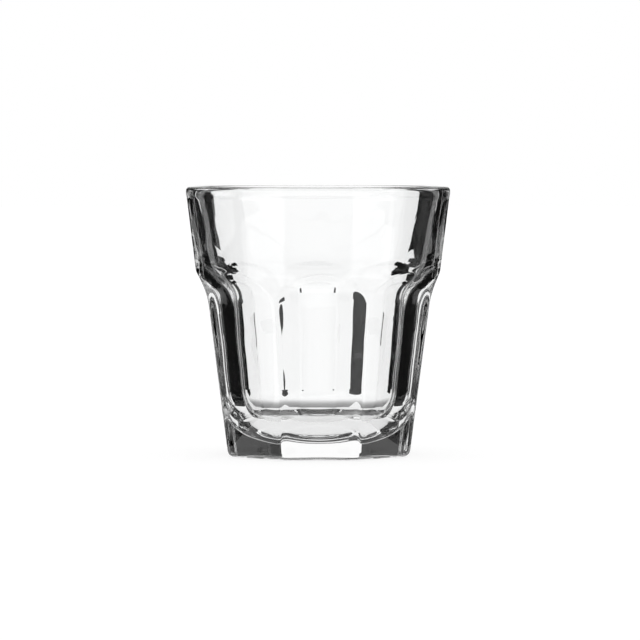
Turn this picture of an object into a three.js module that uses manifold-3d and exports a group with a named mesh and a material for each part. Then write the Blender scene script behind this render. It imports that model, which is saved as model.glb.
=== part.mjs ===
// Rocks glass, pressed in one piece from clear glass. Millimetres, +Z up, standing on z = 0 about the Z axis.
// A round glass with its bowl is revolved first. An eight-sided form then trims its outside: flat panels below,
// flaring out of the glass at the shoulder, so that each panel ends in an arch under the plain round band.
import * as THREE from "three";
import { mergeVertices } from "three/addons/utils/BufferGeometryUtils.js";
import Module from "manifold-3d";

// Outside of the round glass
const HEIGHT = 90.5;
const RIM_DIAMETER = 89; // over the lip
const LIP_PROUD = 0.35; // how far the lip stands out from the band
const LIP_HEIGHT = 4.5;
const SHOULDER_HEIGHT = 62;
const SHOULDER_DIAMETER = 82.4;
const HEEL_DIAMETER = 65.4; // over the ridges, where they would meet the table
const HEEL_RADIUS = 2.5;

// Flat panels
const PANEL_COUNT = 8;
const RIDGE_AT_HEEL = 1.0; // width of the round strip left between two panels
const RIDGE_AT_FLARE = 1.1;
const FLARE_START = 50; // height where the flats begin to curve outwards
const FLARE_RADIUS = 27;
const FLARE_ANGLE = THREE.MathUtils.degToRad(48); // turned through by the time the form has left the glass

// Underside
const BEARING_DIAMETER = 46; // inner edge of the ring that the glass stands on
const HOLLOW_DEPTH = 1.2;

// Bowl
const LIP_WALL = 3.6; // glass left at the lip
const BAND_WALL = 4.75; // at the foot of the bowl's upper part
const NARROWING_HEIGHT = 66; // where the bowl begins to narrow behind the shoulder
const NARROWING_DROP = 18.5; // height over which it does
const BODY_WALL = 5.6; // at the top of the flats, behind a panel's middle
const BASE_WALL = 4.6; // at the floor, behind a panel's middle
const FLOOR_HEIGHT = 5.5; // at the axis
const FLOOR_DISH_RADIUS = 60; // of the dished floor
const FLOOR_CORNER = 12; // length of wall and of floor that the round corner takes up

const ROUND_STEPS = 80;
const CURVE_STEPS = 5;

const wasm = await Module();
wasm.setup();

// Radius of the round glass outside, without its lip
function outsideRadius(z) {
  const toShoulder = (SHOULDER_DIAMETER - HEEL_DIAMETER) / 2 / SHOULDER_HEIGHT;
  const bandTop = RIM_DIAMETER / 2 - LIP_PROUD;
  const toRim = (bandTop - SHOULDER_DIAMETER / 2) / (HEIGHT - LIP_HEIGHT - SHOULDER_HEIGHT);
  const slope = z < SHOULDER_HEIGHT ? toShoulder : toRim;
  return SHOULDER_DIAMETER / 2 + slope * (z - SHOULDER_HEIGHT);
}

// Distance of a flat's middle from the axis where the ridge beside it has the given width
function flatDistance(z, ridgeWidth) {
  const radius = outsideRadius(z);
  return radius * Math.cos(Math.PI / PANEL_COUNT - ridgeWidth / 2 / radius);
}

// Section of the round glass, from the axis under the base, up the outside, over the lip and down the bowl
function glassSection() {
  const section = new THREE.Path();
  const bearing = BEARING_DIAMETER / 2;
  section.moveTo(0, HOLLOW_DEPTH);
  section.quadraticCurveTo(bearing / 2, HOLLOW_DEPTH, bearing, 0);

  section.lineTo(outsideRadius(0) - HEEL_RADIUS, 0);
  section.quadraticCurveTo(outsideRadius(0), 0, outsideRadius(HEEL_RADIUS), HEEL_RADIUS);
  section.lineTo(outsideRadius(SHOULDER_HEIGHT), SHOULDER_HEIGHT);

  const bandTop = HEIGHT - LIP_HEIGHT;
  const rim = RIM_DIAMETER / 2;
  const widest = HEIGHT - LIP_WALL / 2;
  const halfWay = (bandTop + widest) / 2;
  section.lineTo(outsideRadius(bandTop), bandTop);
  section.bezierCurveTo(outsideRadius(halfWay), halfWay, rim, halfWay, rim, widest);
  section.quadraticCurveTo(rim, HEIGHT, rim - LIP_WALL / 2, HEIGHT);

  addBowl(section);
  return section.getPoints(CURVE_STEPS);
}

// Inside of the glass, from the top of the lip down to the middle of the floor
function addBowl(section) {
  const bowlTop = RIM_DIAMETER / 2 - LIP_WALL;
  const lipFoot = HEIGHT - LIP_WALL / 2;
  const bandRadius = outsideRadius(NARROWING_HEIGHT) - BAND_WALL;
  const bandLean = (bowlTop - bandRadius) / (lipFoot - NARROWING_HEIGHT);
  const bodyTop = NARROWING_HEIGHT - NARROWING_DROP;
  const bodyRadius = flatDistance(bodyTop, RIDGE_AT_FLARE) - BODY_WALL;
  const floorRadius = flatDistance(FLOOR_HEIGHT, RIDGE_AT_HEEL) - BASE_WALL;
  const lean = (bodyRadius - floorRadius) / (bodyTop - FLOOR_HEIGHT);
  const halfDrop = NARROWING_DROP / 2;

  section.quadraticCurveTo(bowlTop, HEIGHT, bowlTop, lipFoot);
  section.lineTo(bandRadius, NARROWING_HEIGHT);
  section.bezierCurveTo(
    bandRadius - bandLean * halfDrop, NARROWING_HEIGHT - halfDrop,
    bodyRadius + lean * halfDrop, bodyTop + halfDrop,
    bodyRadius, bodyTop,
  );

  const dishRadius = floorRadius - FLOOR_CORNER;
  const dishRise = dishRadius ** 2 / 2 / FLOOR_DISH_RADIUS;
  const dishSlope = dishRadius / FLOOR_DISH_RADIUS;
  const meeting = (dishRise + dishSlope * FLOOR_CORNER) / (1 - dishSlope * lean); // of wall and dish, over the floor
  const cornerTop = meeting + FLOOR_CORNER;
  section.lineTo(floorRadius + lean * cornerTop, FLOOR_HEIGHT + cornerTop);
  section.quadraticCurveTo(
    floorRadius + lean * meeting, FLOOR_HEIGHT + meeting,
    dishRadius, FLOOR_HEIGHT + dishRise,
  );
  section.quadraticCurveTo(dishRadius / 2, FLOOR_HEIGHT, 0, FLOOR_HEIGHT);
}

// Outline of the eight-sided form along the middle of a flat: straight up to the flare, then curving outwards
function flatOutline() {
  const heel = flatDistance(0, RIDGE_AT_HEEL);
  const flare = flatDistance(FLARE_START, RIDGE_AT_FLARE);
  const lean = Math.atan2(flare - heel, FLARE_START);
  const centre = [flare + FLARE_RADIUS * Math.cos(lean), FLARE_START - FLARE_RADIUS * Math.sin(lean)];
  const spare = HEEL_RADIUS; // by which the form passes the glass below and above

  const outline = new THREE.Path();
  outline.moveTo(0, -spare);
  outline.lineTo(heel - HEEL_RADIUS, -spare);
  outline.lineTo(heel - HEEL_RADIUS, 0);
  outline.quadraticCurveTo(heel, 0, heel + HEEL_RADIUS * Math.tan(lean), HEEL_RADIUS);
  outline.lineTo(flare, FLARE_START);
  outline.absarc(...centre, FLARE_RADIUS, Math.PI - lean, Math.PI - lean - FLARE_ANGLE, true);
  outline.lineTo(RIM_DIAMETER, HEIGHT + spare);
  outline.lineTo(0, HEIGHT + spare);
  return outline.getPoints(CURVE_STEPS * 3);
}

function revolve(points, steps, start) {
  return new THREE.LatheGeometry(points, steps, start).rotateX(Math.PI / 2);
}

function toSolid(geometry) {
  const bare = geometry.clone();
  bare.deleteAttribute("normal");
  bare.deleteAttribute("uv");
  const merged = mergeVertices(bare, 1e-4);
  const corners = merged.index.array;
  const triangles = [];
  for (let i = 0; i < corners.length; i += 3) {
    const [a, b, c] = corners.subarray(i, i + 3);
    if (a !== b && b !== c && c !== a) triangles.push(a, b, c);
  }
  const vertProperties = new Float32Array(merged.attributes.position.array);
  return new wasm.Manifold(new wasm.Mesh({ numProp: 3, vertProperties, triVerts: new Uint32Array(triangles) }));
}

function toGeometry(solid) {
  const { vertProperties, triVerts } = solid.getMesh();
  const geometry = new THREE.BufferGeometry();
  geometry.setAttribute("position", new THREE.BufferAttribute(vertProperties, 3));
  geometry.setIndex(new THREE.BufferAttribute(triVerts, 1));
  geometry.computeVertexNormals();
  return geometry;
}

// A form cut by flats has its corners between the panels, half a panel round from each flat's middle
function panelForm() {
  const toCorner = 1 / Math.cos(Math.PI / PANEL_COUNT);
  const corners = flatOutline().map((p) => new THREE.Vector2(p.x * toCorner, p.y));
  return revolve(corners, PANEL_COUNT, Math.PI / PANEL_COUNT);
}

const roundGlass = toSolid(revolve(glassSection(), ROUND_STEPS, 0));
const panelled = roundGlass.intersect(toSolid(panelForm()));

const clearGlass = new THREE.MeshStandardMaterial({ color: 0xf2f5f4, roughness: 0.03, metalness: 0 });
const glassBody = new THREE.Mesh(toGeometry(panelled), clearGlass);
glassBody.name = "glass_body";

const rocksGlass = new THREE.Group();
rocksGlass.add(glassBody);
export default rocksGlass;
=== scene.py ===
"""A clear pressed rocks glass on a pale floor, lit all round so that its edges draw themselves dark."""
import math

import bpy
import numpy as np
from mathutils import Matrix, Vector


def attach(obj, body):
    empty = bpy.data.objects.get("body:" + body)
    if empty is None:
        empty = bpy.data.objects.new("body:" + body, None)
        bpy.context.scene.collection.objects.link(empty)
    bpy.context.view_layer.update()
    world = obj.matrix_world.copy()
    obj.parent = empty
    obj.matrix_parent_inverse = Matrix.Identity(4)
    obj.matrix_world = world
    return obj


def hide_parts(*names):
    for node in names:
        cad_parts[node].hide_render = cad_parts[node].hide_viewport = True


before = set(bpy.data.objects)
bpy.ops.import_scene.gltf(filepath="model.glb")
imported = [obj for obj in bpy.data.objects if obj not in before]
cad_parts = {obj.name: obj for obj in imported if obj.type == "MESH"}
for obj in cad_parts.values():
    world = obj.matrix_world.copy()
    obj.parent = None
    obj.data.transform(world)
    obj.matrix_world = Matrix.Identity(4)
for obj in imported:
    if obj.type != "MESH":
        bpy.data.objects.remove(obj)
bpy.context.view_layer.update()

MM = 0.001

# Outside of the glass, as in the solid
HEIGHT = 90.5 * MM
RIM_DIAMETER = 89 * MM
LIP_PROUD = 0.35 * MM
LIP_HEIGHT = 4.5 * MM
SHOULDER_HEIGHT = 62 * MM
SHOULDER_DIAMETER = 82.4 * MM
HEEL_DIAMETER = 65.4 * MM
HEEL_RADIUS = 2.5 * MM

# Flat panels, as in the solid, with the soft edges that pressing leaves
PANEL_COUNT = 8
RIDGE_AT_HEEL = 1.0 * MM
RIDGE_AT_FLARE = 1.1 * MM
FLARE_START = 50 * MM
FLARE_RADIUS = 27 * MM
FLARE_REACH = 0.85 * FLARE_RADIUS  # climb of the flare, past where it has left the glass
EDGE_BLEND = 0.5 * MM

# Underside, as in the solid
BEARING_DIAMETER = 46 * MM
HOLLOW_DEPTH = 1.2 * MM

# Bowl, as in the solid
LIP_WALL = 3.6 * MM
BAND_WALL = 4.75 * MM
NARROWING_HEIGHT = 66 * MM
NARROWING_DROP = 18.5 * MM
BODY_WALL = 5.6 * MM
BASE_WALL = 4.6 * MM
FLOOR_HEIGHT = 5.5 * MM
FLOOR_DISH_RADIUS = 60 * MM
FLOOR_CORNER = 12 * MM

# Fineness of the mesh
PANEL_COLUMNS = 40
RIDGE_CROWDING = 0.55  # how far a panel's columns are drawn towards its ridges
HEEL_ROWS = 11
BEARING_ROWS = 3
BODY_STEP = 1.2 * MM
FLARE_STEP = 0.4 * MM
FINE_BELOW_FLARE = 6 * MM
FINE_ABOVE_SHOULDER = 4 * MM
BAND_STEP = 1.5 * MM
CURVE_STEPS = 12
WALL_STEPS = 16
NARROWING_STEPS = 24
CORNER_STEPS = 20

# Clear glass
GLASS_COLOUR = (0.99, 0.993, 0.993, 1)
GLASS_IOR = 1.52
RIPPLE_SCALE = 110  # per metre: the slow waviness of a pressed wall
RIPPLE_HEIGHT = 0.1 * MM
SMEAR_SCALE = 45  # per metre: where handling has left the polish a little less sharp
ROUGHNESS_POLISHED = 0.0
ROUGHNESS_SMEARED = 0.03

# Camera
CAMERA_AZIMUTH = math.radians(-1.6)
CAMERA_ELEVATION = math.radians(2.35)
CAMERA_DISTANCE = 1.40
CAMERA_LENS = 233.5
CAMERA_REACH = 50
AIM_RIGHT = 0.67 * MM
AIM_HEIGHT = 45.4 * MM


# Shape of the glass

def soft_min(a, b, blend):
    overlap = np.maximum(blend - np.abs(a - b), 0) / blend
    return np.minimum(a, b) - overlap**2 * blend / 4


def bezier(points, steps):
    """Points along a Bezier curve, without its first one."""
    degree = len(points) - 1
    t = np.linspace(0, 1, steps + 1)[1:, None]
    curve = 0
    for i, point in enumerate(points):
        curve = curve + math.comb(degree, i) * (1 - t) ** (degree - i) * t**i * np.array(point)
    return [tuple(p) for p in curve]


def outside_radius(z):
    """Radius of the round glass, without its lip and heel."""
    to_shoulder = (SHOULDER_DIAMETER - HEEL_DIAMETER) / 2 / SHOULDER_HEIGHT
    band_top = RIM_DIAMETER / 2 - LIP_PROUD
    to_rim = (band_top - SHOULDER_DIAMETER / 2) / (HEIGHT - LIP_HEIGHT - SHOULDER_HEIGHT)
    slope = to_shoulder if z < SHOULDER_HEIGHT else to_rim
    return SHOULDER_DIAMETER / 2 + slope * (z - SHOULDER_HEIGHT)


def flat_distance(z, ridge_width):
    """Distance of a flat's middle from the axis where the ridge beside it has the given width."""
    radius = outside_radius(z)
    return radius * math.cos(math.pi / PANEL_COUNT - ridge_width / 2 / radius)


def heel_inset(z):
    """How far the rounded heel draws the outside in."""
    return HEEL_RADIUS * (1 - math.sqrt(min(z / HEEL_RADIUS, 1))) ** 2


def flat_outside(z):
    """Distance of a flat's middle from the axis: straight up to the flare, then curving outwards."""
    heel = flat_distance(0, RIDGE_AT_HEEL)
    flare = flat_distance(FLARE_START, RIDGE_AT_FLARE)
    lean = math.atan2(flare - heel, FLARE_START)
    if z < FLARE_START:
        return heel + z * math.tan(lean)
    climb = min(z - FLARE_START + FLARE_RADIUS * math.sin(lean), FLARE_REACH)
    return flare + FLARE_RADIUS * math.cos(lean) - math.sqrt(FLARE_RADIUS**2 - climb**2)


def column_angles():
    """Angle of each column of points round the glass, and its angle from the middle of its panel."""
    half_panel = math.pi / PANEL_COUNT
    u = np.linspace(-1, 1, PANEL_COLUMNS, endpoint=False)
    in_panel = half_panel * ((1 - RIDGE_CROWDING) * u + RIDGE_CROWDING * np.sin(u * math.pi / 2))
    round_glass = np.concatenate([in_panel + 2 * half_panel * panel for panel in range(PANEL_COUNT)])
    return round_glass, np.tile(in_panel, PANEL_COUNT)


def outside_rows(from_middle):
    """Rows up the panelled outside: the radius at each column, and the height."""
    fine_start = FLARE_START - FINE_BELOW_FLARE
    fine_end = SHOULDER_HEIGHT + FINE_ABOVE_SHOULDER
    band_top = HEIGHT - LIP_HEIGHT
    heel = HEEL_RADIUS * np.linspace(0, 1, HEEL_ROWS) ** 2
    body = np.arange(HEEL_RADIUS + BODY_STEP, fine_start, BODY_STEP)
    flare = np.arange(fine_start, fine_end, FLARE_STEP)
    band = np.arange(fine_end, band_top, BAND_STEP)
    rows = []
    for z in [*heel, *body, *flare, *band, band_top]:
        flats = (flat_outside(z) - heel_inset(z)) / np.cos(from_middle)
        rows.append((soft_min(outside_radius(z) - heel_inset(z), flats, EDGE_BLEND), z))
    return rows


def lip_points():
    """Points over the lip, from the top of the band to the top of the bowl."""
    band_top = HEIGHT - LIP_HEIGHT
    outer = RIM_DIAMETER / 2
    bowl_top = outer - LIP_WALL
    widest = HEIGHT - LIP_WALL / 2
    half_way = (band_top + widest) / 2
    middle = (outer - LIP_WALL / 2, HEIGHT)
    swell = [
        (outside_radius(band_top), band_top),
        (outside_radius(half_way), half_way),
        (outer, half_way),
        (outer, widest),
    ]
    outside = [(outer, widest), (outer, HEIGHT), middle]
    inside = [middle, (bowl_top, HEIGHT), (bowl_top, widest)]
    return bezier(swell, CURVE_STEPS) + bezier(outside, CURVE_STEPS) + bezier(inside, CURVE_STEPS)


def bowl_points():
    """Points down the bowl, from below the lip to near the middle of its floor."""
    bowl_top = (RIM_DIAMETER / 2 - LIP_WALL, HEIGHT - LIP_WALL / 2)
    band = (outside_radius(NARROWING_HEIGHT) - BAND_WALL, NARROWING_HEIGHT)
    band_lean = (bowl_top[0] - band[0]) / (bowl_top[1] - band[1])
    body_top = NARROWING_HEIGHT - NARROWING_DROP
    body_radius = flat_distance(body_top, RIDGE_AT_FLARE) - BODY_WALL
    floor_radius = flat_distance(FLOOR_HEIGHT, RIDGE_AT_HEEL) - BASE_WALL
    lean = (body_radius - floor_radius) / (body_top - FLOOR_HEIGHT)
    half_drop = NARROWING_DROP / 2
    body = (body_radius, body_top)
    narrowing = [
        band,
        (band[0] - band_lean * half_drop, NARROWING_HEIGHT - half_drop),
        (body_radius + lean * half_drop, body_top + half_drop),
        body,
    ]

    dish_radius = floor_radius - FLOOR_CORNER
    dish_rise = dish_radius**2 / 2 / FLOOR_DISH_RADIUS
    dish_slope = dish_radius / FLOOR_DISH_RADIUS
    meeting = (dish_rise + dish_slope * FLOOR_CORNER) / (1 - dish_slope * lean)
    corner_top = (floor_radius + lean * (meeting + FLOOR_CORNER), FLOOR_HEIGHT + meeting + FLOOR_CORNER)
    dish_edge = (dish_radius, FLOOR_HEIGHT + dish_rise)
    corner = [corner_top, (floor_radius + lean * meeting, FLOOR_HEIGHT + meeting), dish_edge]
    dish = [dish_edge, (dish_radius / 2, FLOOR_HEIGHT), (0, FLOOR_HEIGHT)]
    return (
        bezier([bowl_top, band], WALL_STEPS)
        + bezier(narrowing, NARROWING_STEPS)
        + bezier([body, corner_top], WALL_STEPS)
        + bezier(corner, CORNER_STEPS)
        + bezier(dish, CURVE_STEPS)[:-1]
    )


def glass_mesh():
    """Rows of points from under the base, up the outside, over the lip and down the bowl."""
    angles, from_middle = column_angles()
    outside = outside_rows(from_middle)
    bearing = BEARING_DIAMETER / 2
    foot = outside[0][0]
    rows = bezier([(0, HOLLOW_DEPTH), (bearing / 2, HOLLOW_DEPTH), (bearing, 0)], CURVE_STEPS)
    for row in range(1, BEARING_ROWS + 1):
        rows.append((bearing + (foot - bearing) * row / (BEARING_ROWS + 1), 0))
    rows += outside + lip_points() + bowl_points()

    columns = len(angles)
    points = []
    for radius, z in rows:
        x, y = radius * np.sin(angles), -radius * np.cos(angles)
        points.append(np.stack([x, y, np.full(columns, z)], axis=1))
    points.append([(0, 0, HOLLOW_DEPTH), (0, 0, FLOOR_HEIGHT)])

    around = np.arange(columns)
    following = (around + 1) % columns
    faces = []
    for row in range(len(rows) - 1):
        low, high = row * columns, (row + 1) * columns
        faces += np.stack([low + around, low + following, high + following, high + around], axis=1).tolist()
    last = (len(rows) - 1) * columns
    under = len(rows) * columns
    floor = under + 1
    faces += np.stack([np.full(columns, under), following, around], axis=1).tolist()
    faces += np.stack([np.full(columns, floor), last + around, last + following], axis=1).tolist()

    mesh = bpy.data.meshes.new("pressed_glass")
    mesh.from_pydata(np.concatenate(points).tolist(), [], faces)
    mesh.shade_smooth()
    return mesh


def clear_glass():
    """Clear glass with the slow ripple of a pressed wall and a polish that varies a little."""
    material = bpy.data.materials.new("clear_glass")
    material.use_nodes = True
    nodes, links = material.node_tree.nodes, material.node_tree.links
    shader = nodes["Principled BSDF"]
    shader.inputs["Base Color"].default_value = GLASS_COLOUR
    shader.inputs["IOR"].default_value = GLASS_IOR
    shader.inputs["Transmission Weight"].default_value = 1

    place = nodes.new("ShaderNodeTexCoord")
    ripple = nodes.new("ShaderNodeTexNoise")
    ripple.inputs["Scale"].default_value = RIPPLE_SCALE
    ripple.inputs["Detail"].default_value = 0
    bump = nodes.new("ShaderNodeBump")
    bump.inputs["Distance"].default_value = RIPPLE_HEIGHT
    links.new(place.outputs["Object"], ripple.inputs["Vector"])
    links.new(ripple.outputs["Fac"], bump.inputs["Height"])
    links.new(bump.outputs["Normal"], shader.inputs["Normal"])

    smear = nodes.new("ShaderNodeTexNoise")
    smear.inputs["Scale"].default_value = SMEAR_SCALE
    polish = nodes.new("ShaderNodeMapRange")
    polish.inputs["To Min"].default_value = ROUGHNESS_POLISHED
    polish.inputs["To Max"].default_value = ROUGHNESS_SMEARED
    links.new(place.outputs["Object"], smear.inputs["Vector"])
    links.new(smear.outputs["Fac"], polish.inputs["Value"])
    links.new(polish.outputs["Result"], shader.inputs["Roughness"])
    return material


def add_object(name, mesh, material):
    mesh.materials.append(material)
    made = bpy.data.objects.new(name, mesh)
    bpy.context.scene.collection.objects.link(made)
    return made


def add_glass():
    glass = add_object("pressed_glass", glass_mesh(), clear_glass())
    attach(glass, "root")
    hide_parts("glass_body")


# Pale floor
FLOOR_HALF = 6.0
AIR_FILM = 0.02 * MM  # between the bearing ring and the floor
FLOOR_ALBEDO = 0.25
FLOOR_GLOW = 0.8


def floor_material():
    material = bpy.data.materials.new("pale_floor")
    material.use_nodes = True
    shader = material.node_tree.nodes["Principled BSDF"]
    shader.inputs["Base Color"].default_value = (FLOOR_ALBEDO, FLOOR_ALBEDO, FLOOR_ALBEDO, 1)
    shader.inputs["Roughness"].default_value = 1
    shader.inputs["Specular IOR Level"].default_value = 0
    shader.inputs["Emission Color"].default_value = (1, 1, 1, 1)
    shader.inputs["Emission Strength"].default_value = FLOOR_GLOW
    return material


def add_floor():
    corners = [(-1, -1), (1, -1), (1, 1), (-1, 1)]
    points = [(x * FLOOR_HALF, y * FLOOR_HALF, -AIR_FILM) for x, y in corners]
    mesh = bpy.data.meshes.new("floor")
    mesh.from_pydata(points, [], [(0, 1, 2, 3)])
    add_object("floor", mesh, floor_material())


# Dark cards that only the glass shows, so that its edges stand out against the white.
# Angles are in degrees round the glass, from straight behind it: 90 is at its right, 180 towards the camera.
DARK = 0.005
CAMERA_SIDE = 180
CARD_STEPS = 24
CARD_TOP = 0.30
HUNG_RADIUS = 0.25
STANDING_RADIUS = 0.40
STEP_HEIGHT = 38 * MM  # of the step in the edges of the gap behind the glass
LOW, HIGH = 0, 1  # below and above that step
LEFT_OPENING = (257, 283)
HUNG_CARDS = {
    "radius": HUNG_RADIUS,
    "levels": [(STEP_HEIGHT, LOW), (63 * MM, HIGH), (CARD_TOP, HIGH)],
    "right_gap": (16.9, 16.9),
    "left_gap": (20, 17.1),
    "slit": (48.8, 50.4),
    "right_end": 90,
}
STANDING_CARDS = {
    "radius": STANDING_RADIUS,
    "levels": [(0, LOW), (STEP_HEIGHT, LOW), (40 * MM, HIGH), (CARD_TOP, HIGH)],
    "right_gap": (16.5, 13.5),
    "left_gap": (20.9, 14.5),
    "slit": (45.6, 47.2),
    "right_end": 95,
}

# Front card, dark beside the glass and fading to white towards the camera
FRONT_TOP = 0.13
FRONT_DIRECTION = (0, 1, 0)
FRONT_WHITE = (-0.42, 1)  # place along that direction, and the shade there
FRONT_DARK = (-0.20, DARK)

# Painted soft shadow round the foot, behind the glass: a glowing card on the floor, seen only in the glass,
# fading from grey near the foot to white
FOOT_DARK = (34 * MM, 0.25)  # distance from the glass's middle, and the shade there
FOOT_WHITE = (85 * MM, 1)
FOOT_SHADE_HALF = 44

# Low cards standing close to the glass, one at each side
NEAR_RADIUS = 60 * MM
NEAR_TOP = 56 * MM
NEAR_SPAN = (57, 102)

# Cards on the floor: the half width of the gap between those behind the glass, at each radius
CARD_LIFT = 0.5 * MM
RIGHT_BACK_GAP = {
    0.15: 30,
    0.22: 16.5,
    HUNG_RADIUS: 16.5,
    0.32: 16.5,
    0.34: 15.2,
    STANDING_RADIUS: 15.2,
}
LEFT_BACK_GAP = {
    0.10: 30,
    0.20: 18.7,
    HUNG_RADIUS: 18.7,
    0.32: 18.7,
    0.34: 16.9,
    STANDING_RADIUS: 16.9,
}
SIDE_REACH = 110
SIDE_INNER = 45 * MM
CLEAR_SECTOR = (32, 62)  # at each side, where the floor stays white out to the hung cards

# Grey card on the floor in front of the glass
GREY = 0.35
GREY_CARD_HALF = 30
GREY_CARD_INNER = 0.10


def glowing_material(name, shade):
    material = bpy.data.materials.new(name)
    material.use_nodes = True
    nodes = material.node_tree.nodes
    nodes.clear()
    glow = nodes.new("ShaderNodeEmission")
    glow.inputs["Color"].default_value = (shade, shade, shade, 1)
    surface = nodes.new("ShaderNodeOutputMaterial")
    material.node_tree.links.new(glow.outputs["Emission"], surface.inputs["Surface"])
    return material


def fading_material(name, measure, start, end):
    """A glow that fades along a measure of the place on a card: each end has its measure and its shade."""
    material = glowing_material(name, 1)
    nodes, links = material.node_tree.nodes, material.node_tree.links
    place = nodes.new("ShaderNodeNewGeometry")
    along = nodes.new("ShaderNodeVectorMath")
    along.operation = measure
    along.inputs[1].default_value = FRONT_DIRECTION
    fade = nodes.new("ShaderNodeMapRange")
    fade.interpolation_type = "SMOOTHSTEP"
    fade.inputs["From Min"].default_value, fade.inputs["To Min"].default_value = start
    fade.inputs["From Max"].default_value, fade.inputs["To Max"].default_value = end
    links.new(place.outputs["Position"], along.inputs[0])
    links.new(along.outputs["Value"], fade.inputs["Value"])
    links.new(fade.outputs["Result"], nodes["Emission"].inputs["Strength"])
    return material


def add_card(name, edges, material):
    """A curved card: each edge has its radius, its height and the two angles that it runs between."""
    points = []
    for step in range(CARD_STEPS + 1):
        for radius, height, start, end in edges:
            angle = math.radians(start + (end - start) * step / CARD_STEPS)
            points.append((radius * math.sin(angle), radius * math.cos(angle), height))
    count = len(edges)
    faces = []
    for step in range(CARD_STEPS):
        for edge in range(count - 1):
            corner = step * count + edge
            faces.append((corner, corner + count, corner + count + 1, corner + 1))
    mesh = bpy.data.meshes.new(name)
    mesh.from_pydata(points, [], faces)
    card = add_object(name, mesh, material)
    card.rotation_euler.z = CAMERA_AZIMUTH
    card.visible_camera = False
    card.visible_diffuse = False
    card.visible_shadow = False


def add_wall_cards(name, ring, material):
    """Four cards on one circle: two beside the gap behind the glass, and past a slit one at each side."""
    radius = ring["radius"]
    near, far = ring["slit"]
    cards = {"right_back": [], "right_side": [], "left_side": [], "left_back": []}
    for height, level in ring["levels"]:
        cards["right_back"].append((radius, height, ring["right_gap"][level], near))
        cards["right_side"].append((radius, height, far, ring["right_end"]))
        cards["left_side"].append((radius, height, LEFT_OPENING[1], 360 - far))
        cards["left_back"].append((radius, height, 360 - near, 360 - ring["left_gap"][level]))
    for side, edges in cards.items():
        add_card(f"{name}_{side}", edges, material)


def add_front_card():
    span = (STANDING_CARDS["right_end"], LEFT_OPENING[0])
    edges = [(STANDING_RADIUS, height, *span) for height in (0, FRONT_TOP)]
    add_card("front", edges, fading_material("front_card", "DOT_PRODUCT", FRONT_WHITE, FRONT_DARK))


# Painted shadow of the foot on the floor, on a card that only the glass shows
def add_foot_shade():
    span = (-FOOT_SHADE_HALF, FOOT_SHADE_HALF)
    edges = [(radius, CARD_LIFT, *span) for radius in (FOOT_DARK[0], FOOT_WHITE[0])]
    add_card("foot_shade", edges, fading_material("foot_shade", "LENGTH", FOOT_DARK, FOOT_WHITE))


def add_low_cards(side, turn, gaps, material):
    """The card close to one side of the glass and those on the floor there; turn is -1 at the left."""
    back_end, side_start = CLEAR_SECTOR
    cards = {
        "near": [(NEAR_RADIUS, height, *NEAR_SPAN) for height in (0, NEAR_TOP)],
        "back": [(r, CARD_LIFT, gap, back_end) for r, gap in gaps.items() if r <= HUNG_RADIUS],
        "side": [(r, CARD_LIFT, side_start, SIDE_REACH) for r in (SIDE_INNER, HUNG_RADIUS)],
        "far": [(r, CARD_LIFT, gap, SIDE_REACH) for r, gap in gaps.items() if r >= HUNG_RADIUS],
    }
    for place, edges in cards.items():
        turned = [(radius, height, turn * start, turn * end) for radius, height, start, end in edges]
        add_card(f"low_{side}_{place}", turned, material)


def add_grey_card():
    span = (CAMERA_SIDE - GREY_CARD_HALF, CAMERA_SIDE + GREY_CARD_HALF)
    edges = [(radius, CARD_LIFT, *span) for radius in (GREY_CARD_INNER, STANDING_RADIUS)]
    add_card("floor_front", edges, glowing_material("grey_card", GREY))


def add_cards():
    dark = glowing_material("dark_card", DARK)
    add_wall_cards("hung", HUNG_CARDS, dark)
    add_wall_cards("standing", STANDING_CARDS, dark)
    add_front_card()
    add_foot_shade()
    add_low_cards("right", 1, RIGHT_BACK_GAP, dark)
    add_low_cards("left", -1, LEFT_BACK_GAP, dark)
    add_grey_card()


# World: white all round, darker overhead where the glass shows it
CEILING_LOW = 0.3  # upward part of the view's direction where the white begins to darken
CEILING_HIGH = 0.5
CEILING_SHADE = 0.05


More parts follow.
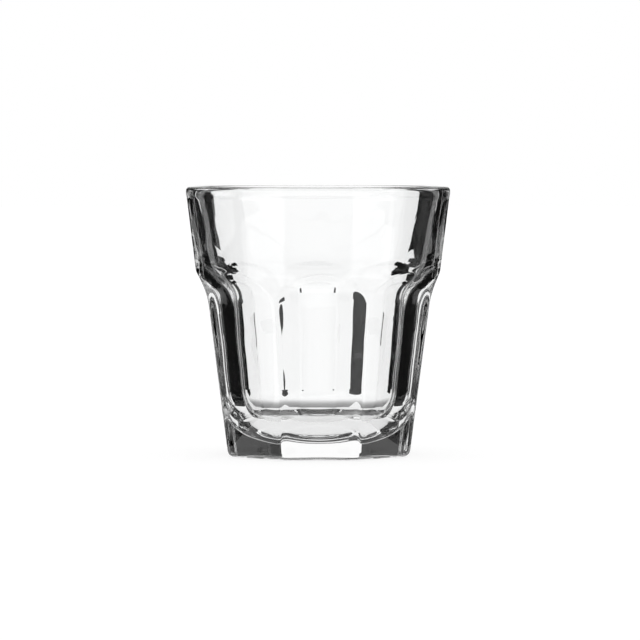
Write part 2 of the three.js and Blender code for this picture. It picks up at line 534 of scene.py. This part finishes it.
def add_world():
    world = bpy.data.worlds.new("studio")
    bpy.context.scene.world = world
    world.use_nodes = True
    nodes, links = world.node_tree.nodes, world.node_tree.links
    direction = nodes.new("ShaderNodeTexCoord")
    parts = nodes.new("ShaderNodeSeparateXYZ")
    ceiling = nodes.new("ShaderNodeMapRange")
    ceiling.inputs["From Min"].default_value = CEILING_LOW
    ceiling.inputs["From Max"].default_value = CEILING_HIGH
    ceiling.inputs["To Min"].default_value = 1
    ceiling.inputs["To Max"].default_value = CEILING_SHADE
    light_path = nodes.new("ShaderNodeLightPath")
    plain = nodes.new("ShaderNodeMath")
    plain.operation = "MAXIMUM"
    strength = nodes.new("ShaderNodeMath")
    strength.operation = "MAXIMUM"
    background = nodes["Background"]
    background.inputs["Color"].default_value = (1, 1, 1, 1)
    links.new(direction.outputs["Generated"], parts.inputs["Vector"])
    links.new(parts.outputs["Z"], ceiling.inputs["Value"])
    links.new(light_path.outputs["Is Camera Ray"], plain.inputs[0])
    links.new(light_path.outputs["Is Diffuse Ray"], plain.inputs[1])
    links.new(plain.outputs["Value"], strength.inputs[0])
    links.new(ceiling.outputs["Result"], strength.inputs[1])
    links.new(strength.outputs["Value"], background.inputs["Strength"])


def add_camera():
    data = bpy.data.cameras.new("camera")
    data.lens = CAMERA_LENS
    data.clip_end = CAMERA_REACH
    camera = bpy.data.objects.new("camera", data)
    bpy.context.scene.collection.objects.link(camera)
    back = Vector((
        math.sin(CAMERA_AZIMUTH) * math.cos(CAMERA_ELEVATION),
        -math.cos(CAMERA_AZIMUTH) * math.cos(CAMERA_ELEVATION),
        math.sin(CAMERA_ELEVATION),
    ))
    right = Vector((math.cos(CAMERA_AZIMUTH), math.sin(CAMERA_AZIMUTH), 0))
    aim = right * AIM_RIGHT + Vector((0, 0, AIM_HEIGHT))
    camera.location = aim + back * CAMERA_DISTANCE
    camera.rotation_euler = (-back).to_track_quat("-Z", "Y").to_euler()
    bpy.context.scene.camera = camera


# Bounces enough for light to cross both walls and the thick base
LIGHT_BOUNCES = 24
GLOSSY_BOUNCES = 12


def set_light_paths():
    scene = bpy.context.scene
    scene.cycles.max_bounces = LIGHT_BOUNCES
    scene.cycles.transmission_bounces = LIGHT_BOUNCES
    scene.cycles.glossy_bounces = GLOSSY_BOUNCES
    scene.view_settings.view_transform = "Standard"


add_glass()
add_floor()
add_cards()
add_world()
add_camera()
set_light_paths()
